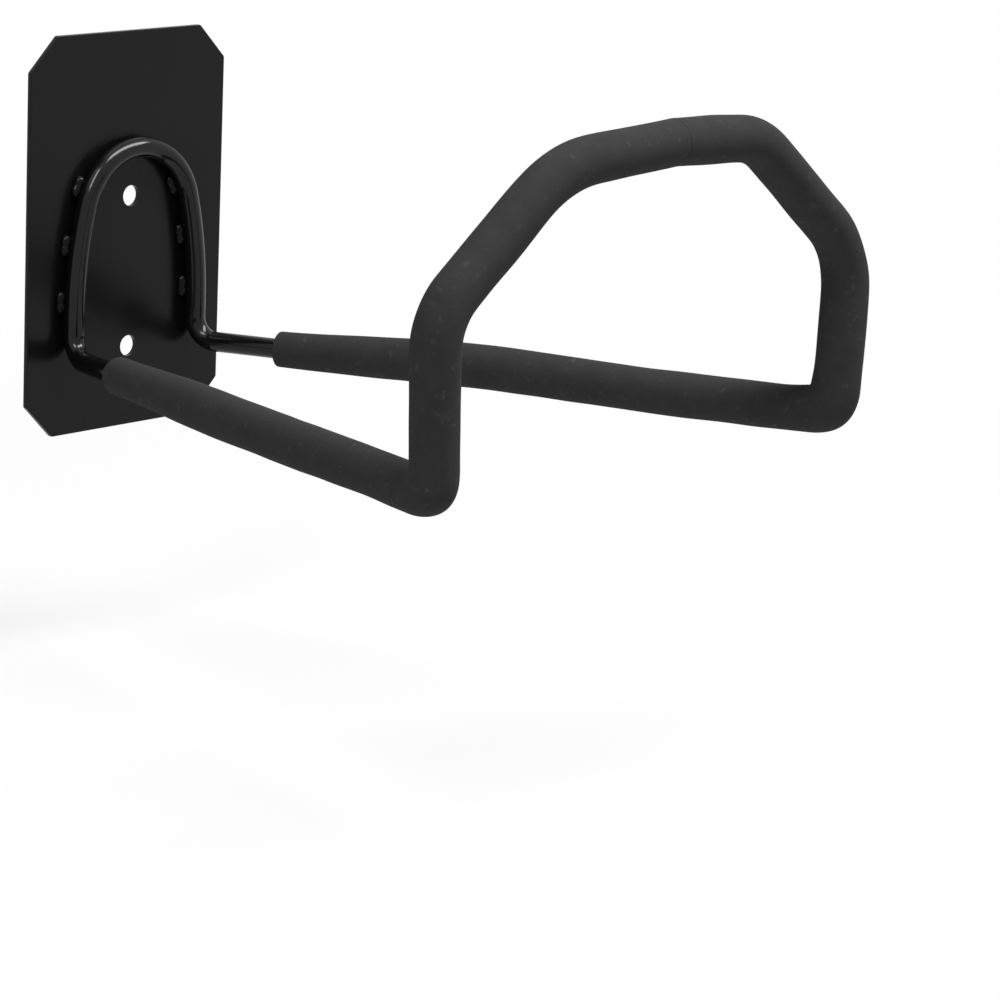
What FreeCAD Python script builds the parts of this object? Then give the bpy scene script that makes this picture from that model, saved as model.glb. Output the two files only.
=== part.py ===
# Wall-mounted hose hanger: a welded wall plate, one bent steel rod and two foam sleeves.
# Millimetres. The wall is the plane y = 0, the hanger reaches out along -Y, and +Z is up.
# The origin is midway between the two screw holes, on the face of the plate that lies on the wall.
import FreeCAD, Part

import math
import os

import Sketcher

Vector = FreeCAD.Vector
OUT_OF_WALL = Vector(0, -1, 0)

doc = FreeCAD.newDocument("hose_hanger")

# Driving dimensions
SIZES = (
    ("plate_height", 170.0, "wall plate, top to bottom"),
    ("plate_width", 110.0, "wall plate, side to side"),
    ("plate_thickness", 2.0, "wall plate sheet"),
    ("plate_rise", 18.0, "plate centre above the middle of the screw holes"),
    ("plate_offset", 2.1, "plate centre to the left of the screw holes"),
    ("corner_cut", 14.5, "each leg of the cut-off plate corners"),
    ("corner_round", 1.5, "rounding of the eight plate corners"),
    ("edge_break", 0.4, "rounding of the front rim of the plate"),
    ("hole_dia", 9.0, "screw holes in the plate"),
    ("hole_spacing", 65.0, "upper screw hole to lower screw hole"),
    ("rod_dia", 8.7, "bent steel rod"),
    ("seat_gap", 0.2, "root gap that the welds bridge between rod and plate"),
    ("arch_radius", 30.0, "centreline of the round top of the arch on the plate"),
    ("arch_top", 54.0, "top of the arch centreline above the origin"),
    ("leg_half", 35.0, "half the distance between the upright legs of the arch"),
    ("leg_level", -15.0, "height at which the bowed flanks of the arch become upright legs"),
    ("arm_level", -33.2, "height at which the legs turn out of the wall"),
    ("back_bend", 10.0, "centreline radius where the legs turn into the arms"),
    ("loop_reach", 293.0, "wall to the centreline of the upturned loop"),
    ("foot_half", 118.0, "half width of the loop at the ends of the arms"),
    ("foot_level", -25.7, "height of the arms' front ends"),
    ("foot_bend", 11.0, "centreline radius where the arms turn up"),
    ("shoulder_half", 120.5, "half width of the loop at its shoulders"),
    ("shoulder_level", 40.4, "height of the shoulders"),
    ("shoulder_bend", 25.0, "centreline radius at the shoulders"),
    ("crown_half", 56.9, "half width of the loop at the ends of the top bar"),
    ("crown_level", 89.6, "height of the ends of the top bar"),
    ("crown_bend", 20.0, "centreline radius at the ends of the top bar"),
    ("ridge_level", 92.8, "height of the top bar where its two halves meet"),
    ("seam_shift", 7.0, "seam of the top bar, to the right of the middle"),
    ("rod_end_gap", 1.0, "space between the two rod ends inside the sleeves"),
    ("sleeve_dia", 18.7, "foam sleeve, outside"),
    ("sleeve_clearance", 0.1, "radial clearance between foam and rod"),
    ("sleeve_setback", 32.5, "back bend to the start of the sleeve"),
    ("weld_lowest", -9.3, "height of the lowest pair of welds on a leg"),
    ("weld_pitch", 23.3, "one weld level to the next"),
    ("puddle_dia", 5.0, "one weld puddle"),
    ("puddle_pitch", 4.0, "between the two puddles of a weld"),
)
WELD_LEVELS = 3

sheet = doc.addObject("Spreadsheet::Sheet", "sizes")
for row, (alias, value, note) in enumerate(SIZES, start=1):
    sheet.set(f"A{row}", note)
    sheet.set(f"B{row}", str(value))
    sheet.setAlias(f"B{row}", alias)
doc.recompute()


def size(alias):
    """The value of one cell of the sheet."""
    return float(sheet.get(alias))


# Wall plate: a rectangle with cut corners, slightly rounded, with two screw holes


def origin_plane(body, role):
    """One of a body's own origin planes."""
    return next(item for item in body.Origin.OriginFeatures if item.Role == role)


def edges_along_wall_normal(shape):
    """Names of the straight edges that run through the thickness of the plate."""
    names = []
    for number, edge in enumerate(shape.Edges, start=1):
        if isinstance(edge.Curve, Part.Line) and abs(edge.tangentAt(edge.FirstParameter).y) > 0.99:
            names.append(f"Edge{number}")
    return names


def front_rim_edges(shape):
    """Names of the outer edges of the face that looks away from the wall."""
    front = shape.BoundBox.YMin
    names = []
    for number, edge in enumerate(shape.Edges, start=1):
        box = edge.BoundBox
        if abs(box.YMin - front) < 1e-6 and abs(box.YMax - front) < 1e-6:
            names.append(f"Edge{number}")
    return names


def plate_sketch(body, name):
    """A sketch on the wall plane of the body, X to the right and Y up."""
    sketch = body.newObject("Sketcher::SketchObject", name)
    sketch.AttachmentSupport = [(origin_plane(body, "XZ_Plane"), "")]
    sketch.MapMode = "FlatFace"
    return sketch


def driven(sketch, constraint, expression):
    """Adds a constraint whose value comes from the sheet."""
    index = sketch.addConstraint(Sketcher.Constraint(*constraint))
    sketch.setExpression(f"Constraints[{index}]", expression)


def make_back_plate():
    body = doc.addObject("PartDesign::Body", "back_plate")
    outline = plate_sketch(body, "plate_outline")
    left = -size("plate_offset") - size("plate_width") / 2
    right = -size("plate_offset") + size("plate_width") / 2
    bottom = size("plate_rise") - size("plate_height") / 2
    top = size("plate_rise") + size("plate_height") / 2
    corners = [
        Vector(left, bottom, 0),
        Vector(right, bottom, 0),
        Vector(right, top, 0),
        Vector(left, top, 0),
    ]
    for start, end in zip(corners, corners[1:] + corners[:1]):
        outline.addGeometry(Part.LineSegment(start, end))
    for line in range(4):
        outline.addConstraint(Sketcher.Constraint("Coincident", line, 2, (line + 1) % 4, 1))
    for line in (0, 2):
        outline.addConstraint(Sketcher.Constraint("Horizontal", line))
    for line in (1, 3):
        outline.addConstraint(Sketcher.Constraint("Vertical", line))
    driven(outline, ("DistanceX", 0, 1, 0, 2, size("plate_width")), "sizes.plate_width")
    driven(outline, ("DistanceY", 1, 1, 1, 2, size("plate_height")), "sizes.plate_height")
    driven(outline, ("DistanceX", -1, 1, 0, 2, right), "sizes.plate_width / 2 - sizes.plate_offset")
    driven(outline, ("DistanceY", -1, 1, 1, 2, top), "sizes.plate_rise + sizes.plate_height / 2")

    sheet_pad = body.newObject("PartDesign::Pad", "plate_sheet")
    sheet_pad.Profile = outline
    sheet_pad.setExpression("Length", "sizes.plate_thickness")
    doc.recompute()

    cut = body.newObject("PartDesign::Chamfer", "plate_corners")
    cut.Base = (sheet_pad, edges_along_wall_normal(sheet_pad.Shape))
    cut.setExpression("Size", "sizes.corner_cut")
    doc.recompute()

    rounded = body.newObject("PartDesign::Fillet", "plate_corner_rounds")
    rounded.Base = (cut, edges_along_wall_normal(cut.Shape))
    rounded.setExpression("Radius", "sizes.corner_round")
    doc.recompute()

    rim = body.newObject("PartDesign::Fillet", "plate_rim")
    rim.Base = (rounded, front_rim_edges(rounded.Shape))
    rim.setExpression("Radius", "sizes.edge_break")
    doc.recompute()

    holes = plate_sketch(body, "screw_holes")
    for index, side in enumerate((1, -1)):
        height = side * size("hole_spacing") / 2
        holes.addGeometry(Part.Circle(Vector(0, height, 0), Vector(0, 0, 1), size("hole_dia") / 2))
        holes.addConstraint(Sketcher.Constraint("PointOnObject", index, 3, -2))
        driven(holes, ("Diameter", index, size("hole_dia")), "sizes.hole_dia")
    driven(holes, ("DistanceY", -1, 1, 0, 3, size("hole_spacing") / 2), "sizes.hole_spacing / 2")
    driven(holes, ("DistanceY", 1, 3, -1, 1, size("hole_spacing") / 2), "sizes.hole_spacing / 2")

    solid_volume = rim.Shape.Volume
    drilled = body.newObject("PartDesign::Pocket", "screw_hole_cut")
    drilled.Profile = holes
    drilled.Type = "ThroughAll"
    drilled.Midplane = True
    doc.recompute()
    expected = 2 * math.pi * size("hole_dia") ** 2 / 4 * size("plate_thickness")
    removed = solid_volume - drilled.Shape.Volume
    if abs(removed - expected) > 0.01 * expected:
        raise RuntimeError(f"screw holes removed {removed:.1f} mm3, not {expected:.1f}")
    return body


# Centreline of the rod: straight runs joined by tangent arcs


def rod_depth():
    """Distance of the arch centreline from the wall."""
    return size("plate_thickness") + size("seat_gap") + size("rod_dia") / 2


def arch_centre():
    """Centre of the arch's round top."""
    return Vector(0, -rod_depth(), size("arch_top") - size("arch_radius"))


def flank_radius():
    """Radius of the arc that leaves the round top without a kink and ends upright at a leg."""
    drop = arch_centre().z - size("leg_level")
    widening = size("leg_half") - size("arch_radius")
    return (size("leg_half") ** 2 + drop ** 2 - size("arch_radius") ** 2) / (2 * widening)


def flank_centre(side):
    """Centre of one bowed flank; side is -1 for the left flank and 1 for the right."""
    return Vector(side * (size("leg_half") - flank_radius()), -rod_depth(), size("leg_level"))


def flank_start(side):
    """Point where the round top runs into a flank."""
    outwards = (arch_centre() - flank_centre(side)).normalize()
    return arch_centre() + outwards * size("arch_radius")


def leg_start(side):
    """Point where a flank runs into its upright leg."""
    return Vector(side * size("leg_half"), -rod_depth(), size("leg_level"))


def leg_foot(side):
    """Corner point where a leg, drawn straight, would meet its arm."""
    return Vector(side * size("leg_half"), -rod_depth(), size("arm_level"))


def flank(side):
    """The arc of one flank, from the round top to its leg."""
    centre = flank_centre(side)
    halfway = (flank_start(side) - centre) + (leg_start(side) - centre)
    middle = centre + halfway.normalize() * flank_radius()
    return Part.Arc(flank_start(side), middle, leg_start(side)).toShape()


def loop_corners(side):
    """Corner points of one half of the loop, with the bend radius at each, from arm to seam."""
    reach = -size("loop_reach")
    return [
        (Vector(side * size("foot_half"), reach, size("foot_level")), size("foot_bend")),
        (Vector(side * size("shoulder_half"), reach, size("shoulder_level")), size("shoulder_bend")),
        (Vector(side * size("crown_half"), reach, size("crown_level")), size("crown_bend")),
    ]


def seam_point(side, short_of_seam):
    """End of one half of the top bar, a distance short of the seam, or past it if negative."""
    seam = Vector(size("seam_shift"), -size("loop_reach"), size("ridge_level"))
    crown = loop_corners(side)[-1][0]
    return seam + (crown - seam).normalize() * short_of_seam


def bend(before, corner, after, radius):
    """Start, middle and end of the arc of a given radius that rounds one corner point."""
    towards_before = (before - corner).normalize()
    towards_after = (after - corner).normalize()
    half_inside = towards_before.getAngle(towards_after) / 2
    setback = radius / math.tan(half_inside)
    bisector = (towards_before + towards_after).normalize()
    centre_distance = radius / math.sin(half_inside)
    middle = corner + bisector * (centre_distance - radius)
    return corner + towards_before * setback, middle, corner + towards_after * setback


def rounded_runs(start, corners, end):
    """Edges from start to end through corner points, each rounded by its own radius."""
    points = [start] + [corner for corner, radius in corners] + [end]
    edges = []
    last = start
    for index, (corner, radius) in enumerate(corners, start=1):
        arc_start, arc_middle, arc_end = bend(points[index - 1], corner, points[index + 1], radius)
        edges.append(Part.LineSegment(last, arc_start).toShape())
        edges.append(Part.Arc(arc_start, arc_middle, arc_end).toShape())
        last = arc_end
    edges.append(Part.LineSegment(last, end).toShape())
    return edges


def rod_half(side):
    """Edges of one half of the rod, from the round top of the arch to the seam of the top bar."""
    corners = [(leg_foot(side), size("back_bend"))] + loop_corners(side)
    return [flank(side)] + rounded_runs(leg_start(side), corners, seam_point(side, size("rod_end_gap") / 2))


def sleeve_run(side):
    """Edges of the stretch of one rod half that its foam sleeve covers, with some spare at the seam."""
    corners = loop_corners(side)
    back_corner = leg_foot(side)
    bend_end = bend(leg_start(side), back_corner, corners[0][0], size("back_bend"))[2]
    along_arm = (corners[0][0] - back_corner).normalize()
    sleeve_end = bend_end + along_arm * size("sleeve_setback")
    return rounded_runs(sleeve_end, corners, seam_point(side, -size("sleeve_dia") / 4))


def path_object(name, edges):
    """A centreline as an object of the document."""
    path = doc.addObject("Part::Feature", name)
    path.Shape = Part.Wire(Part.__sortEdges__(edges))
    return path


def swept_tube(name, path, radius_expression):
    """A round bar along a centreline, its radius bound to the sheet."""
    first_edge = path.Shape.OrderedEdges[0]
    start = path.Shape.OrderedVertexes[0].Point
    tangent = first_edge.tangentAt(first_edge.getParameterByLength(0))
    section = doc.addObject("Part::Circle", f"{name}_section")
    section.setExpression("Radius", radius_expression)
    section.Placement = FreeCAD.Placement(start, FreeCAD.Rotation(Vector(0, 0, 1), tangent))
    tube = doc.addObject("Part::Sweep", name)
    tube.Sections = [section]
    tube.Spine = (path, [f"Edge{number}" for number in range(1, len(path.Shape.Edges) + 1)])
    tube.Solid = True
    doc.recompute()
    expected = math.pi * section.Radius.Value ** 2 * path.Shape.Length
    if abs(tube.Shape.Volume - expected) > 0.002 * expected:
        raise RuntimeError(f"{name} has {tube.Shape.Volume:.0f} mm3, not {expected:.0f}")
    return tube


def make_hanger_rod():
    arch = Part.Arc(flank_start(-1), arch_centre() + Vector(0, 0, size("arch_radius")), flank_start(1))
    path = path_object("rod_centreline", rod_half(-1) + [arch.toShape()] + rod_half(1))
    return swept_tube("hanger_rod", path, "sizes.rod_dia / 2")


def past_seam(hand, side):
    """A block on the far side of the seam plane, which trims a sleeve square to its neighbour."""
    block = doc.addObject("Part::Box", f"past_{hand}_seam")
    block.setExpression("Length", "sizes.sleeve_dia")
    block.setExpression("Width", "2 * sizes.sleeve_dia")
    block.setExpression("Height", "2 * sizes.sleeve_dia")
    near_edge = "sizes.seam_shift" if side < 0 else "sizes.seam_shift - sizes.sleeve_dia"
    block.setExpression("Placement.Base.x", near_edge)
    block.setExpression("Placement.Base.y", "-sizes.loop_reach - sizes.sleeve_dia")
    block.setExpression("Placement.Base.z", "sizes.ridge_level - sizes.sleeve_dia")
    return block


def make_foam_sleeve(hand, side):
    path = path_object(f"{hand}_sleeve_centreline", sleeve_run(side))
    outside = swept_tube(f"{hand}_sleeve_outside", path, "sizes.sleeve_dia / 2")
    bore = swept_tube(f"{hand}_sleeve_bore", path, "sizes.rod_dia / 2 + sizes.sleeve_clearance")
    tube = doc.addObject("Part::Cut", f"{hand}_sleeve_tube")
    tube.Base = outside
    tube.Tool = bore
    sleeve = doc.addObject("Part::Cut", f"{hand}_foam_sleeve")
    sleeve.Base = tube
    sleeve.Tool = past_seam(hand, side)
    return sleeve


# Welds: pairs of puddles in the creases between the arch legs and the plate


def leg_place(side, level):
    """Point and downward direction of the arch centreline at a given height."""
    if level < size("leg_level"):
        return Vector(side * size("leg_half"), -rod_depth(), level), Vector(0, 0, -1)
    if level < flank_start(side).z:
        centre, radius = flank_centre(side), flank_radius()
    else:
        centre, radius = arch_centre(), size("arch_radius")
    rise = math.asin((level - centre.z) / radius)
    outwards = Vector(side * math.cos(rise), 0, math.sin(rise))
    return centre + outwards * radius, Vector(side * math.sin(rise), 0, -math.cos(rise))


def weld_puddle(name, centre):
    """Half a ball of weld metal, flat on the plate."""
    puddle = doc.addObject("Part::Sphere", name)
    puddle.setExpression("Radius", "sizes.puddle_dia / 2")
    puddle.Angle1 = 0
    puddle.Placement = FreeCAD.Placement(centre, FreeCAD.Rotation(Vector(0, 0, 1), OUT_OF_WALL))
    return puddle


def make_weld_beads(hanger_rod):
    """Two puddles at each side of each leg on every level, hollowed to sit against the rod."""
    puddles = []
    beside_rod = size("rod_dia") / 2 - size("seat_gap")
    for level_number in range(WELD_LEVELS):
        level = size("weld_lowest") + level_number * size("weld_pitch")
        for side in (-1, 1):
            point, direction = leg_place(side, level)
            across = direction.cross(OUT_OF_WALL)
            for crease in (-1, 1):
                root = Vector(point.x, -size("plate_thickness"), point.z) + across * (crease * beside_rod)
                for step in (-1, 1):
                    centre = root + direction * (step * size("puddle_pitch") / 2)
                    puddles.append(weld_puddle(f"puddle_{len(puddles) + 1}", centre))
    joined = doc.addObject("Part::MultiFuse", "weld_puddles")
    joined.Shapes = puddles
    beads = doc.addObject("Part::Cut", "weld_beads")
    beads.Base = joined
    beads.Tool = hanger_rod
    return beads


hanger_rod = make_hanger_rod()
sub_parts = [
    make_back_plate(),
    hanger_rod,
    make_weld_beads(hanger_rod),
    make_foam_sleeve("left", -1),
    make_foam_sleeve("right", 1),
]
doc.recompute()

for item in doc.Objects:
    if "Invalid" in item.State or "Error" in item.State:
        raise RuntimeError(f"{item.Name} failed: {item.State}")
for part in sub_parts:
    if part.Shape.isNull() or not part.Shape.isValid():
        raise RuntimeError(f"{part.Label} has no valid shape")

os.makedirs("parts", exist_ok=True)
for part in sub_parts:
    part.Shape.exportStep(f"parts/{part.Label}.step")
    box = part.Shape.optimalBoundingBox()
    print(
        f"{part.Label}: {len(part.Shape.Solids)} solids, {part.Shape.Volume / 1000:.2f} cm3,"
        f" x {box.XMin:.1f} to {box.XMax:.1f}, y {box.YMin:.1f} to {box.YMax:.1f},"
        f" z {box.ZMin:.1f} to {box.ZMax:.1f}"
    )
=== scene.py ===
# %% [markdown]
# # A wall-mounted hose hanger
# The hanger is a coated steel plate, one bent rod welded to it, and two foam sleeves that pad the rod.
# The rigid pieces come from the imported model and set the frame: metres, +Z up, the wall at y = 0 and
# the loop reaching out along -Y. This lesson dresses them and models what a plain solid can't show.

import math

import bpy
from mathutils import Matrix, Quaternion, Vector


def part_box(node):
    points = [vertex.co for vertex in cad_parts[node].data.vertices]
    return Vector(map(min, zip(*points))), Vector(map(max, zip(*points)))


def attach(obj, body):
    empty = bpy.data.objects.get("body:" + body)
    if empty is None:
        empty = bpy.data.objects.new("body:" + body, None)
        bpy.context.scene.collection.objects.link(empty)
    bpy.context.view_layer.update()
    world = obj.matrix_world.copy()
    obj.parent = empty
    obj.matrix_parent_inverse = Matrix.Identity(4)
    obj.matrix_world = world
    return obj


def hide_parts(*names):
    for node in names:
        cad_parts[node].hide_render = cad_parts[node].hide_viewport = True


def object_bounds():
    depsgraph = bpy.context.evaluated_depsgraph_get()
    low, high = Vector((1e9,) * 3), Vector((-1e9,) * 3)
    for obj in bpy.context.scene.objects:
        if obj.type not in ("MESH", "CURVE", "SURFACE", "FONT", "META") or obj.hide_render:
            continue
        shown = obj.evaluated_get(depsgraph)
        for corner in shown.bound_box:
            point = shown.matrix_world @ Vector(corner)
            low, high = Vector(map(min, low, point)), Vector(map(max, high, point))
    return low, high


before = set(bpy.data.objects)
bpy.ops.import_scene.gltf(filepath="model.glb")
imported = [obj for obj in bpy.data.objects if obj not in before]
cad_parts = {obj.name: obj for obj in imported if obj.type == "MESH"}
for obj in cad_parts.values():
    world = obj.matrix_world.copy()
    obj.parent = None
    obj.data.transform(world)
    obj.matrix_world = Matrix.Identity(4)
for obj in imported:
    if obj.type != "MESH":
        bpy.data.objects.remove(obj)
cad_low, cad_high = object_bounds()
print("frame nodes:", sorted(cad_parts))
print("box of the solids:", [round(v, 4) for v in (*cad_low, *cad_high)])

# %% [markdown]
# ## The camera
# A long lens from the left, a little above the hanger, flattens the perspective the way a catalogue
# photograph does. The place, the two angles and the slight roll are set as numbers, so that
# the plate stands at the left of the picture and the loop reaches towards the right.

# %% Camera
CAMERA_PLACE = Vector((-1.1479, -1.2443, 0.3114))
CAMERA_AZIMUTH = math.radians(-48.248)
CAMERA_ELEVATION = math.radians(13.523)
CAMERA_ROLL = math.radians(2.494)
CAMERA_LENS = 144.07
SENSOR_WIDTH = 36.0
CLIP_END = 50.0

camera_data = bpy.data.cameras.new("camera")
camera_data.sensor_width = SENSOR_WIDTH
camera_data.lens = CAMERA_LENS
camera_data.clip_end = CLIP_END
camera = bpy.data.objects.new("camera", camera_data)
bpy.context.scene.collection.objects.link(camera)
view_direction = Vector((
    -math.sin(CAMERA_AZIMUTH) * math.cos(CAMERA_ELEVATION),
    math.cos(CAMERA_AZIMUTH) * math.cos(CAMERA_ELEVATION),
    -math.sin(CAMERA_ELEVATION),
))
roll = Quaternion((0, 0, 1), CAMERA_ROLL)
camera.location = CAMERA_PLACE
camera.rotation_mode = "QUATERNION"
camera.rotation_quaternion = view_direction.to_track_quat("-Z", "Y") @ roll
bpy.context.scene.camera = camera
print("camera looks along", [round(v, 3) for v in view_direction])

# %% [markdown]
# ## Measures of the bent rod
# The foam follows the rod, so the sleeves are drawn along the rod's corner points: the foot, where an
# arm turns up, the shoulder, the crown, and the seam where the two halves of the top bar meet.
# Each corner is rounded by its own bend radius. Foam cuts some corners: it runs wider round both
# crowns and the right shoulder than the rod inside it, and lies a little high on the right crown.
# Where the two sides differ, a value is given for the left side (-1) and the right side (1).

# %% Corner points and bends
MM = 1000
ROD_RADIUS = 0.00435
SLEEVE_RADIUS = 0.00935
LOOP_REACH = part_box("left_foam_sleeve")[0].y + SLEEVE_RADIUS
LEG_FOOT = Vector((0.035, -0.00655, -0.0332))
FOOT = Vector((0.118, LOOP_REACH, -0.0257))
SHOULDER = Vector((0.1205, LOOP_REACH, 0.0404))
CROWN = Vector((0.0569, LOOP_REACH, 0.0896))
SEAM = Vector((0.007, LOOP_REACH, 0.0928))
BACK_BEND = 0.010
FOOT_BEND = 0.011
SHOULDER_BEND = {-1: 0.025, 1: 0.038}
CROWN_BEND = {-1: 0.060, 1: 0.032}
CROWN_LIFT = {-1: 0.0, 1: 0.0008}
print("loop stands", round(-LOOP_REACH * MM, 1), "mm out of the wall")

# %% [markdown]
# ## Drawing a tube as by hand
# A foam tube on a bent rod is a ring that has been pushed along the rod. In edit mode that is two
# tools: extrude moves the open end of the tube straight on, and spin carries it round a bend about
# the bend's centre. A curve with a bevel would also give a tube, but its rings bunch up in
# tight bends, while spin keeps them even and leaves the end ring selected for the next step.

# %% Tube tools
RING_POINTS = 48
RUN_STEP = 0.006
BEND_STEP = math.radians(6)


def start_ring(name, centre, direction, radius):
    """An open ring across a direction, left in edit mode with its edges selected."""
    bpy.ops.object.select_all(action="DESELECT")
    turn = direction.to_track_quat("Z", "Y").to_euler()
    bpy.ops.mesh.primitive_circle_add(
        vertices=RING_POINTS, radius=radius, location=centre, rotation=turn)
    ring = bpy.context.active_object
    ring.name = name
    ring.data.name = name
    bpy.ops.object.transform_apply(location=True, rotation=True, scale=True)
    bpy.ops.object.mode_set(mode="EDIT")
    bpy.ops.mesh.select_mode(type="EDGE")
    bpy.ops.mesh.select_all(action="SELECT")
    return ring


def extrude_run(start, end):
    """Pushes the selected ring straight on from start to end in even steps."""
    steps = max(1, round((end - start).length / RUN_STEP))
    move = (end - start) / steps
    for step in range(steps):
        bpy.ops.mesh.extrude_edges_move(TRANSFORM_OT_translate={"value": move})


def bend_at(before, corner, after, radius):
    """Start, end, centre, axis and angle of the bend that rounds one corner point."""
    towards_before = (before - corner).normalized()
    towards_after = (after - corner).normalized()
    half_inside = towards_before.angle(towards_after) / 2
    setback = radius / math.tan(half_inside)
    bisector = (towards_before + towards_after).normalized()
    centre = corner + bisector * (radius / math.sin(half_inside))
    axis = towards_before.cross(towards_after).normalized()
    turn = math.pi - 2 * half_inside
    return corner + towards_before * setback, corner + towards_after * setback, centre, axis, turn


def spin_bend(centre, axis, turn):
    """Carries the selected ring round a bend."""
    steps = max(2, round(turn / BEND_STEP))
    bpy.ops.mesh.spin(steps=steps, angle=turn, center=centre, axis=axis)


def draw_tube(name, start, corners, end, radius):
    """A tube from start to end round corner points, each given with its bend radius."""
    points = [start] + [corner for corner, bend in corners] + [end]
    tube = start_ring(name, start, corners[0][0] - start, radius)
    reached = start
    for index, (corner, bend) in enumerate(corners, start=1):
        before, after = points[index - 1], points[index + 1]
        bend_start, bend_end, centre, axis, turn = bend_at(before, corner, after, bend)
        extrude_run(reached, bend_start)
        spin_bend(centre, axis, turn)
        reached = bend_end
    extrude_run(reached, end)
    bpy.ops.object.mode_set(mode="OBJECT")
    last_ring = [v.co for v in tube.data.vertices if v.select]
    middle = sum(last_ring, Vector()) / len(last_ring)
    print(name, "ends", round((middle - end).length * MM, 4), "mm from its mark")
    return tube


print("tubes are drawn with rings of", RING_POINTS, "points")

# %% [markdown]
# ## The foam sleeves
# Each sleeve is one closed-cell foam tube, pushed over an arm and half of the loop before the ends
# met. It starts just in front of the plate, where the rod has turned out of the wall, and runs to the
# seam in the top bar. The tube is drawn a little past the seam and cut there with a bisect,
# so that the two sleeves butt on one upright plane although the bar rises towards the seam.

# %% Two drawn tubes
SLEEVE_SETBACK = 0.0325
PAST_SEAM = 0.004
CUT_MERGE = 1e-5


def mirrored(point, side):
    """A point of the right half, or its mirror image when side is -1."""
    return Vector((side * point.x, point.y, point.z))


def sleeve_start(side):
    """Where the sleeve begins: just past the bend out of the wall."""
    corner = mirrored(LEG_FOOT, side)
    above = corner + Vector((0, 0, 1))
    bend_end = bend_at(above, corner, mirrored(FOOT, side), BACK_BEND)[1]
    return bend_end + (mirrored(FOOT, side) - corner).normalized() * SLEEVE_SETBACK


def draw_sleeve(name, side):
    """The outside of one sleeve, cut at the seam plane."""
    crown = mirrored(CROWN, side) + Vector((0, 0, CROWN_LIFT[side]))
    past_seam = SEAM + (SEAM - crown).normalized() * PAST_SEAM
    corners = [
        (mirrored(FOOT, side), FOOT_BEND),
        (mirrored(SHOULDER, side), SHOULDER_BEND[side]),
        (crown, CROWN_BEND[side]),
    ]
    sleeve = draw_tube(name, sleeve_start(side), corners, past_seam, SLEEVE_RADIUS)
    bpy.ops.object.mode_set(mode="EDIT")
    bpy.ops.mesh.select_all(action="SELECT")
    bpy.ops.mesh.bisect(
        plane_co=SEAM, plane_no=(1, 0, 0), clear_outer=side < 0, clear_inner=side > 0)
    bpy.ops.mesh.select_all(action="SELECT")
    bpy.ops.mesh.remove_doubles(threshold=CUT_MERGE)
    bpy.ops.mesh.normals_make_consistent(inside=False)
    bpy.ops.object.mode_set(mode="OBJECT")
    print(name, len(sleeve.data.polygons), "faces on the outside")
    return sleeve


left_sleeve = draw_sleeve("left_sleeve_foam", -1)
right_sleeve = draw_sleeve("right_sleeve_foam", 1)

# %% [markdown]
# ## Soft foam instead of a turned tube
# Foam is never a perfect cylinder. Near the wall both sleeves thin out, at the feet they stand full
# round the outside of the bend, along the right arm the foam bows up a little, and towards the seam
# both ends narrow. Moving or scaling a few points with proportional editing gives these forms,
# because the foam round them follows, less and less. Sculpting could do the same, but strokes can't
# be repeated by numbers.

# %% Pulls on the foam
GRAB_MARGIN = 1.07
RING_GRAB = GRAB_MARGIN * SLEEVE_RADIUS
SPOT_GRAB = 0.003


def pull(sleeve, place, grab, reach, scale=1.0, move=(0, 0, 0)):
    """Scales and moves the points near a place; the foam within reach follows, less and less."""
    bpy.ops.object.select_all(action="DESELECT")
    sleeve.select_set(True)
    bpy.context.view_layer.objects.active = sleeve
    bpy.ops.object.mode_set(mode="EDIT")
    bpy.ops.mesh.select_mode(type="VERT")
    bpy.ops.mesh.select_all(action="DESELECT")
    bpy.ops.object.mode_set(mode="OBJECT")
    for vertex in sleeve.data.vertices:
        vertex.select = (vertex.co - place).length < grab
    grabbed = sum(vertex.select for vertex in sleeve.data.vertices)
    bpy.ops.object.mode_set(mode="EDIT")
    soft = {
        "use_proportional_edit": True,
        "proportional_edit_falloff": "SMOOTH",
        "proportional_size": reach,
    }
    bpy.ops.transform.resize(value=(scale,) * 3, center_override=place, **soft)
    bpy.ops.transform.translate(value=move, **soft)
    bpy.ops.object.mode_set(mode="OBJECT")
    print(sleeve.name, "pulled at", [round(v * MM) for v in place], "by", grabbed, "points")


def foot_corner(side):
    """The middle of the bend at the foot, and the direction that points out of the corner there."""
    corner = mirrored(FOOT, side)
    centre = bend_at(mirrored(LEG_FOOT, side), corner, mirrored(SHOULDER, side), FOOT_BEND)[2]
    outward = (corner - centre).normalized()
    return centre + outward * FOOT_BEND, outward


def along_arm(side, share):
    """A point on the middle line of an arm, from the wall (0) to the foot (1)."""
    return mirrored(LEG_FOOT, side).lerp(mirrored(FOOT, side), share)


print("a ring is grabbed within", round(RING_GRAB * MM, 1), "mm, a spot within", SPOT_GRAB * MM, "mm")

# %% Foam at the wall and at the feet
BACK_SHRINK = 0.83
BACK_REACH = 0.08
FOOT_FILL = 0.0024
FOOT_REACH = 0.014
CREASE_FILL = 0.0016
CREASE_REACH = 0.010

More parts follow.
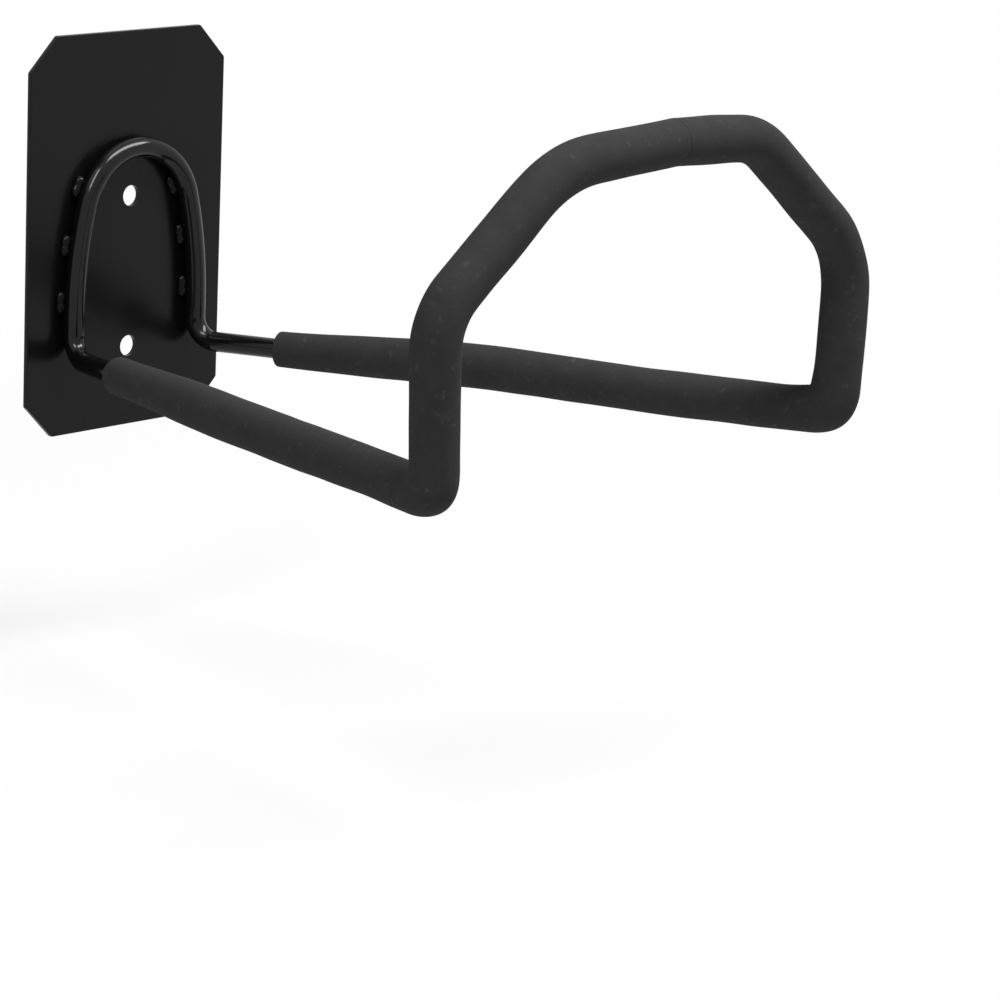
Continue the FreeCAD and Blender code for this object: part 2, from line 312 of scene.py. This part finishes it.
for side, sleeve in ((-1, left_sleeve), (1, right_sleeve)):
    pull(sleeve, sleeve_start(side), RING_GRAB, BACK_REACH, scale=BACK_SHRINK)
left_foot, left_outward = foot_corner(-1)
right_foot, right_outward = foot_corner(1)
arm_push = (FOOT - LEG_FOOT).normalized() * FOOT_FILL
pull(left_sleeve, left_foot + left_outward * SLEEVE_RADIUS, SPOT_GRAB, FOOT_REACH,
     move=mirrored(arm_push, -1))
pull(right_sleeve, right_foot + right_outward * SLEEVE_RADIUS, SPOT_GRAB, FOOT_REACH,
     move=right_outward * FOOT_FILL / 2)
pull(right_sleeve, right_foot - right_outward * SLEEVE_RADIUS, SPOT_GRAB, CREASE_REACH,
     move=-right_outward * CREASE_FILL)

# %% Foam along the arms and the loop
LEFT_WAIST = along_arm(-1, share=0.85)
RIGHT_BOW = along_arm(1, share=0.46)
LEFT_SHOULDER = mirrored(SHOULDER, -1)
RIGHT_LEG = (FOOT + SHOULDER) / 2
RIGHT_CREST = SEAM.lerp(CROWN, 0.55)
RING_PULLS = [
    {"sleeve": left_sleeve, "place": LEFT_WAIST, "reach": 0.06, "scale": 0.965, "lift": 0.0004},
    {"sleeve": right_sleeve, "place": RIGHT_BOW, "reach": 0.10, "scale": 1.0, "lift": 0.0022},
    {"sleeve": left_sleeve, "place": LEFT_SHOULDER, "reach": 0.035, "scale": 1.03, "lift": 0.0},
    {"sleeve": right_sleeve, "place": RIGHT_LEG, "reach": 0.04, "scale": 1.05, "lift": 0.0},
    {"sleeve": left_sleeve, "place": SEAM, "reach": 0.06, "scale": 0.97, "lift": 0.0},
    {"sleeve": right_sleeve, "place": SEAM, "reach": 0.02, "scale": 0.975, "lift": 0.0},
    {"sleeve": right_sleeve, "place": RIGHT_CREST, "reach": 0.03, "scale": 1.0, "lift": 0.0005},
]
for ring in RING_PULLS:
    pull(ring["sleeve"], ring["place"], RING_GRAB, ring["reach"],
         scale=ring["scale"], move=(0, 0, ring["lift"]))

# %% [markdown]
# ## Dips, wall and ends of the foam
# Handled foam has shallow dips, and a cut end shows its wall round the rod. A displace modifier with a
# cloud texture adds dips of a few tenths of a millimetre. Solidify then turns the skin into a real
# tube with a bore, and a bevel softens its cut ends. As modifiers these steps stay even all along the
# tube, which modelling each dip by hand would not.

# %% Dips, wall and softened ends
BORE_GAP = 0.0001
FOAM_WALL = SLEEVE_RADIUS - ROD_RADIUS - BORE_GAP
END_ROUNDING = 0.0002
END_SEGMENTS = 3
END_ANGLE = math.radians(50)
DIP_SIZE = 0.022
DIP_DEPTH = 0.0007
MIDDLE_GREY = 0.5

dips = bpy.data.textures.new("foam_dips", "CLOUDS")
dips.noise_scale = DIP_SIZE
dips.noise_depth = 1


def apply_modifier(piece, kind, **settings):
    """Adds one modifier to a piece and applies it."""
    bpy.context.view_layer.objects.active = piece
    modifier = piece.modifiers.new(kind.lower(), kind)
    for name, value in settings.items():
        setattr(modifier, name, value)
    bpy.ops.object.modifier_apply(modifier=modifier.name)


def displace_by(piece, texture, depth):
    """Moves the surface in and out by a texture, up to half the depth each way."""
    apply_modifier(piece, "DISPLACE", texture=texture, texture_coords="LOCAL",
                   strength=depth, mid_level=MIDDLE_GREY)


def finish_sleeve(sleeve, node):
    """Turns the drawn skin into a soft foam tube that stands for its solid."""
    displace_by(sleeve, dips, DIP_DEPTH)
    apply_modifier(sleeve, "SOLIDIFY", thickness=FOAM_WALL, offset=-1.0, use_rim=True)
    apply_modifier(sleeve, "BEVEL", width=END_ROUNDING, segments=END_SEGMENTS,
                   limit_method="ANGLE", angle_limit=END_ANGLE)
    apply_modifier(sleeve, "SUBSURF", levels=1, render_levels=1)
    bpy.ops.object.select_all(action="DESELECT")
    sleeve.select_set(True)
    bpy.context.view_layer.objects.active = sleeve
    bpy.ops.object.shade_smooth()
    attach(sleeve, "root")
    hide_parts(node)
    print(sleeve.name, len(sleeve.data.polygons), "faces")


finish_sleeve(left_sleeve, "left_foam_sleeve")
finish_sleeve(right_sleeve, "right_foam_sleeve")

# %% [markdown]
# ## Weld beads
# A weld is a row of puddles that ran into each other before they set. The solids give the place and
# the size of each bead, so a copy of them is a better start than new balls. The copy is remeshed and
# smoothed until the puddles flow together. A displace then swells it, which makes up for the
# smoothing and lets the bead sink a little into plate and rod. A very small ripple keeps the skin
# from being perfectly even, and one subdivision rounds it.

# %% Flowed weld beads
SOLID_MERGE = 1e-6
BEAD_VOXEL = 0.0004
BEAD_SMOOTHING = 0.5
BEAD_SMOOTH_STEPS = 60
BEAD_SWELL = 0.0008
RIPPLE_SIZE = 0.0016
RIPPLE_DEPTH = 0.0001

weld_beads = bpy.data.objects.new("flowed_beads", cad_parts["weld_beads"].data.copy())
bpy.context.scene.collection.objects.link(weld_beads)
bpy.ops.object.select_all(action="DESELECT")
weld_beads.select_set(True)
bpy.context.view_layer.objects.active = weld_beads
bpy.ops.object.mode_set(mode="EDIT")
bpy.ops.mesh.select_all(action="SELECT")
bpy.ops.mesh.remove_doubles(threshold=SOLID_MERGE)
bpy.ops.object.mode_set(mode="OBJECT")
ripples = bpy.data.textures.new("weld_ripples", "CLOUDS")
ripples.noise_scale = RIPPLE_SIZE
apply_modifier(weld_beads, "REMESH", mode="VOXEL", voxel_size=BEAD_VOXEL)
apply_modifier(weld_beads, "SMOOTH", factor=BEAD_SMOOTHING, iterations=BEAD_SMOOTH_STEPS)
apply_modifier(weld_beads, "DISPLACE", strength=BEAD_SWELL, mid_level=0.0)
displace_by(weld_beads, ripples, RIPPLE_DEPTH)
apply_modifier(weld_beads, "SUBSURF", levels=1, render_levels=1)
bpy.ops.object.shade_smooth()
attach(weld_beads, "root")
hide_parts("weld_beads")
print("flowed beads:", len(weld_beads.data.polygons), "faces")

# %% [markdown]
# ## A mottle that all finishes share
# Neither powder coat nor foam is one flat tone. A node group makes two masks from the place on the
# surface: broad clouds for uneven colour and roughness, and a fine grain for the bump. Each material
# sets its own scales, so that the same group gives orange peel on the steel and pores on the foam.

# %% Node group: mottle
CLOUD_DETAIL = 4.0
CLOUD_ROUGHNESS = 0.6
GRAIN_DETAIL = 2.0

mottle = bpy.data.node_groups.new("mottle", "ShaderNodeTree")
mottle.interface.new_socket("Cloud Scale", in_out="INPUT", socket_type="NodeSocketFloat")
mottle.interface.new_socket("Grain Scale", in_out="INPUT", socket_type="NodeSocketFloat")
mottle.interface.new_socket("Clouds", in_out="OUTPUT", socket_type="NodeSocketFloat")
mottle.interface.new_socket("Grain", in_out="OUTPUT", socket_type="NodeSocketFloat")


def add_node(tree, kind, **settings):
    """One node of a tree, with its properties set."""
    node = tree.nodes.new(kind)
    for name, value in settings.items():
        setattr(node, name, value)
    return node


group_in = add_node(mottle, "NodeGroupInput")
group_out = add_node(mottle, "NodeGroupOutput")
place = add_node(mottle, "ShaderNodeTexCoord")
clouds = add_node(mottle, "ShaderNodeTexNoise")
clouds.inputs["Detail"].default_value = CLOUD_DETAIL
clouds.inputs["Roughness"].default_value = CLOUD_ROUGHNESS
grain = add_node(mottle, "ShaderNodeTexNoise")
grain.inputs["Detail"].default_value = GRAIN_DETAIL
mottle.links.new(place.outputs["Object"], clouds.inputs["Vector"])
mottle.links.new(place.outputs["Object"], grain.inputs["Vector"])
mottle.links.new(group_in.outputs["Cloud Scale"], clouds.inputs["Scale"])
mottle.links.new(group_in.outputs["Grain Scale"], grain.inputs["Scale"])
mottle.links.new(clouds.outputs["Fac"], group_out.inputs["Clouds"])
mottle.links.new(grain.outputs["Fac"], group_out.inputs["Grain"])
print("mottle group has", len(mottle.nodes), "nodes")

# %% Material tools
NOISE_LOW = 0.35
NOISE_HIGH = 0.65


def new_material(name):
    """An empty node material with a Principled shader, and the tree that holds it."""
    material = bpy.data.materials.new(name)
    material.use_nodes = True
    tree = material.node_tree
    return material, tree, tree.nodes["Principled BSDF"]


def add_mottle(tree, cloud_scale, grain_scale):
    """A mottle group in a material, with its own scales."""
    node = add_node(tree, "ShaderNodeGroup", node_tree=mottle)
    node.inputs["Cloud Scale"].default_value = cloud_scale
    node.inputs["Grain Scale"].default_value = grain_scale
    return node


def map_range(tree, source, low, high, from_low=NOISE_LOW, from_high=NOISE_HIGH):
    """A value between low and high that follows a mask."""
    node = add_node(tree, "ShaderNodeMapRange")
    node.inputs["From Min"].default_value = from_low
    node.inputs["From Max"].default_value = from_high
    node.inputs["To Min"].default_value = low
    node.inputs["To Max"].default_value = high
    tree.links.new(source, node.inputs["Value"])
    return node.outputs["Result"]


def mix_colour(tree, mask, dark, light):
    """A colour between two that follows a mask; each is three numbers or a colour from the tree."""
    node = add_node(tree, "ShaderNodeMix", data_type="RGBA")
    tree.links.new(mask, node.inputs["Factor"])
    sockets = [socket for socket in node.inputs if socket.type == "RGBA"]
    for socket, colour in zip(sockets, (dark, light)):
        if isinstance(colour, tuple):
            socket.default_value = (*colour, 1)
        else:
            tree.links.new(colour, socket)
    return next(socket for socket in node.outputs if socket.type == "RGBA")


def add_bump(tree, shader, height, strength, distance):
    """Fine relief on a shader's normal."""
    node = add_node(tree, "ShaderNodeBump")
    node.inputs["Strength"].default_value = strength
    node.inputs["Distance"].default_value = distance
    tree.links.new(height, node.inputs["Height"])
    tree.links.new(node.outputs["Normal"], shader.inputs["Normal"])


print("masks are read between", NOISE_LOW, "and", NOISE_HIGH)

# %% [markdown]
# ## Black powder coat
# The plate, the rod and the welds were coated together: a thin, semi-gloss black skin. It mirrors the
# rod softly in the plate and draws long highlights along the bends. A faint orange peel breaks those
# reflections up. One recipe with three settings is enough: the bent rod shines most, the flat plate
# is a little rougher, and the welds reflect least.

# %% Coat materials
PEEL_CLOUD_SCALE = 38.0
PEEL_GRAIN_SCALE = 1500.0
PEEL_BUMP = 0.12
PEEL_DEPTH = 0.0001
COAT_DARK = (0.002, 0.002, 0.0021)
COAT_LIGHT = (0.0034, 0.0034, 0.0035)
COATS = {
    "black_coat_finish": {"specular": 0.15, "smooth": 0.2, "rough": 0.26},
    "rod_coat_finish": {"specular": 0.24, "smooth": 0.11, "rough": 0.16},
    "weld_coat_finish": {"specular": 0.1, "smooth": 0.1, "rough": 0.14},
}


def coat_material(name, specular, smooth, rough):
    """A black coat whose roughness runs between smooth and rough."""
    coat, tree, shader = new_material(name)
    peel = add_mottle(tree, PEEL_CLOUD_SCALE, PEEL_GRAIN_SCALE)
    tone = mix_colour(tree, peel.outputs["Clouds"], COAT_DARK, COAT_LIGHT)
    roughness = map_range(tree, peel.outputs["Clouds"], smooth, rough)
    tree.links.new(tone, shader.inputs["Base Color"])
    tree.links.new(roughness, shader.inputs["Roughness"])
    shader.inputs["Specular IOR Level"].default_value = specular
    add_bump(tree, shader, peel.outputs["Grain"], PEEL_BUMP, PEEL_DEPTH)
    return coat


coats = {name: coat_material(name, **settings) for name, settings in COATS.items()}
for node, finish in (("back_plate", "black_coat_finish"), ("hanger_rod", "rod_coat_finish")):
    for material_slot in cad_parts[node].material_slots:
        material_slot.material = coats[finish]
weld_beads.data.materials.clear()
weld_beads.data.materials.append(coats["weld_coat_finish"])
print("coat on the plate, the rod and the welds")

# %% [markdown]
# ## Black foam
# Closed-cell foam is matt and slightly uneven in tone, and lint and dust stay on it. The grey is mixed
# from two tones, a few pale specks are added where a noise peaks, and the pores become a bump. Real
# pores would need millions of faces and would look the same from here.

# %% Foam material
FOAM_CLOUD_SCALE = 120.0
PORE_SCALE = 1100.0
PORE_BUMP = 0.35
PORE_DEPTH = 0.0003
FOAM_DARK = (0.0212, 0.0212, 0.0217)
FOAM_LIGHT = (0.032, 0.032, 0.0327)
FOAM_ROUGHNESS = 0.85
FOAM_SPECULAR = 0.05
LINT_SCALE = 260.0
LINT_START = 0.6
LINT_FULL = 0.8
LINT_MOST = 0.5
LINT_COLOUR = (0.075, 0.075, 0.075)

foam, foam_tree, foam_shader = new_material("black_foam_finish")
pores = add_mottle(foam_tree, FOAM_CLOUD_SCALE, PORE_SCALE)
foam_tone = mix_colour(foam_tree, pores.outputs["Clouds"], FOAM_DARK, FOAM_LIGHT)
lint = add_mottle(foam_tree, LINT_SCALE, PORE_SCALE)
lint_share = map_range(foam_tree, lint.outputs["Clouds"], 0.0, LINT_MOST, LINT_START, LINT_FULL)
foam_colour = mix_colour(foam_tree, lint_share, foam_tone, LINT_COLOUR)
foam_tree.links.new(foam_colour, foam_shader.inputs["Base Color"])
foam_shader.inputs["Roughness"].default_value = FOAM_ROUGHNESS
foam_shader.inputs["Specular IOR Level"].default_value = FOAM_SPECULAR
add_bump(foam_tree, foam_shader, pores.outputs["Grain"], PORE_BUMP, PORE_DEPTH)
for sleeve in (left_sleeve, right_sleeve):
    sleeve.data.materials.clear()
    sleeve.data.materials.append(foam)
print("foam on both sleeves")

# %% [markdown]
# ## Floor and surroundings
# The picture is plain white. A world that bright would wash out the black pieces, so it is white only
# where it is seen, directly, mirrored or through a clear piece, and much dimmer as ambient light. A
# pale floor some way below the hanger keeps a soft shadow, and fades into white with distance.

# %% White world
AMBIENT = 0.14


def ray_mask(tree, *kinds):
    """A mask that is 1 for rays of the named kinds."""
    ray = add_node(tree, "ShaderNodeLightPath")
    mask = ray.outputs[kinds[0]]
    for kind in kinds[1:]:
        either = add_node(tree, "ShaderNodeMath", operation="MAXIMUM")
        tree.links.new(mask, either.inputs[0])
        tree.links.new(ray.outputs[kind], either.inputs[1])
        mask = either.outputs[0]
    return mask


world = bpy.data.worlds.new("white_surroundings")
bpy.context.scene.world = world
world.use_nodes = True
world_tree = world.node_tree
background = world_tree.nodes["Background"]
background.inputs["Color"].default_value = (1, 1, 1, 1)
seen = ray_mask(world_tree, "Is Camera Ray", "Is Glossy Ray", "Is Transmission Ray")
strength = map_range(world_tree, seen, AMBIENT, 1.0, from_low=0.0, from_high=1.0)
world_tree.links.new(strength, background.inputs["Strength"])
print("ambient light", AMBIENT)

# %% Floor
FLOOR_DROP = 0.10
FLOOR_SIZE = 16.0
FLOOR_GREY = (0.66, 0.66, 0.66, 1)
FLOOR_ROUGHNESS = 0.9
FLOOR_SPECULAR = 0.1
WHITE_UNDER_HANGER = 0.8
FADE_START = 0.1
SHADOW_REACH = 0.75

bpy.ops.object.select_all(action="DESELECT")
bpy.ops.mesh.primitive_plane_add(size=FLOOR_SIZE, location=(0, 0, cad_low.z - FLOOR_DROP))
floor = bpy.context.active_object
floor.name = "floor"
floor_finish, floor_tree, floor_shader = new_material("pale_floor")
floor_shader.inputs["Base Color"].default_value = FLOOR_GREY
floor_shader.inputs["Roughness"].default_value = FLOOR_ROUGHNESS
floor_shader.inputs["Specular IOR Level"].default_value = FLOOR_SPECULAR
floor_place = add_node(floor_tree, "ShaderNodeTexCoord")
floor_distance = add_node(floor_tree, "ShaderNodeVectorMath", operation="LENGTH")
floor_tree.links.new(floor_place.outputs["Object"], floor_distance.inputs[0])
white_share = map_range(
    floor_tree, floor_distance.outputs["Value"], WHITE_UNDER_HANGER, 1.0, FADE_START, SHADOW_REACH)
floor_seen = ray_mask(floor_tree, "Is Camera Ray", "Is Glossy Ray")
white_where_seen = add_node(floor_tree, "ShaderNodeMath", operation="MULTIPLY")
floor_tree.links.new(white_share, white_where_seen.inputs[0])
floor_tree.links.new(floor_seen, white_where_seen.inputs[1])
white_light = add_node(floor_tree, "ShaderNodeEmission")
floor_mix = add_node(floor_tree, "ShaderNodeMixShader")
floor_tree.links.new(white_where_seen.outputs[0], floor_mix.inputs["Fac"])
floor_tree.links.new(floor_shader.outputs["BSDF"], floor_mix.inputs[1])
floor_tree.links.new(white_light.outputs["Emission"], floor_mix.inputs[2])
floor_output = floor_tree.nodes["Material Output"]
floor_tree.links.new(floor_mix.outputs["Shader"], floor_output.inputs["Surface"])
floor.data.materials.append(floor_finish)
print("floor lies", round(FLOOR_DROP * MM), "mm below the plate")

# %% [markdown]
# ## Studio lights
# Two soft boxes hang high in front, a long one on the right and a small one on the left. Each draws
# its own highlight round the arch, with a dark gap between them, which one big lamp would not. The
# long box is turned along the arch, so that its highlight is long too. It also lights the tops of
# the foam and leaves the sides that face the camera darker.

# %% Lights
LIGHT_AIM = Vector((0.0, -0.05, 0.04))
LIGHTS = {
    "right_box": {"place": (0.48, -0.74, 1.42), "size": (1.65, 0.54), "turn": -49.0, "power": 48.0},
    "left_box": {"place": (-0.96, -0.46, 1.17), "size": (0.4, 0.75), "turn": 0.0, "power": 12.5},
}
for name, light in LIGHTS.items():
    lamp_data = bpy.data.lights.new(name, "AREA")
    lamp_data.shape = "RECTANGLE"
    lamp_data.size, lamp_data.size_y = light["size"]
    lamp_data.energy = light["power"]
    lamp = bpy.data.objects.new(name, lamp_data)
    lamp.location = light["place"]
    turn = Quaternion((0, 0, 1), math.radians(light["turn"]))
    towards_aim = (LIGHT_AIM - lamp.location).to_track_quat("-Z", "Y")
    lamp.rotation_euler = (towards_aim @ turn).to_euler()
    bpy.context.scene.collection.objects.link(lamp)
bpy.context.scene.view_settings.view_transform = "Standard"
print(len(LIGHTS), "soft boxes")
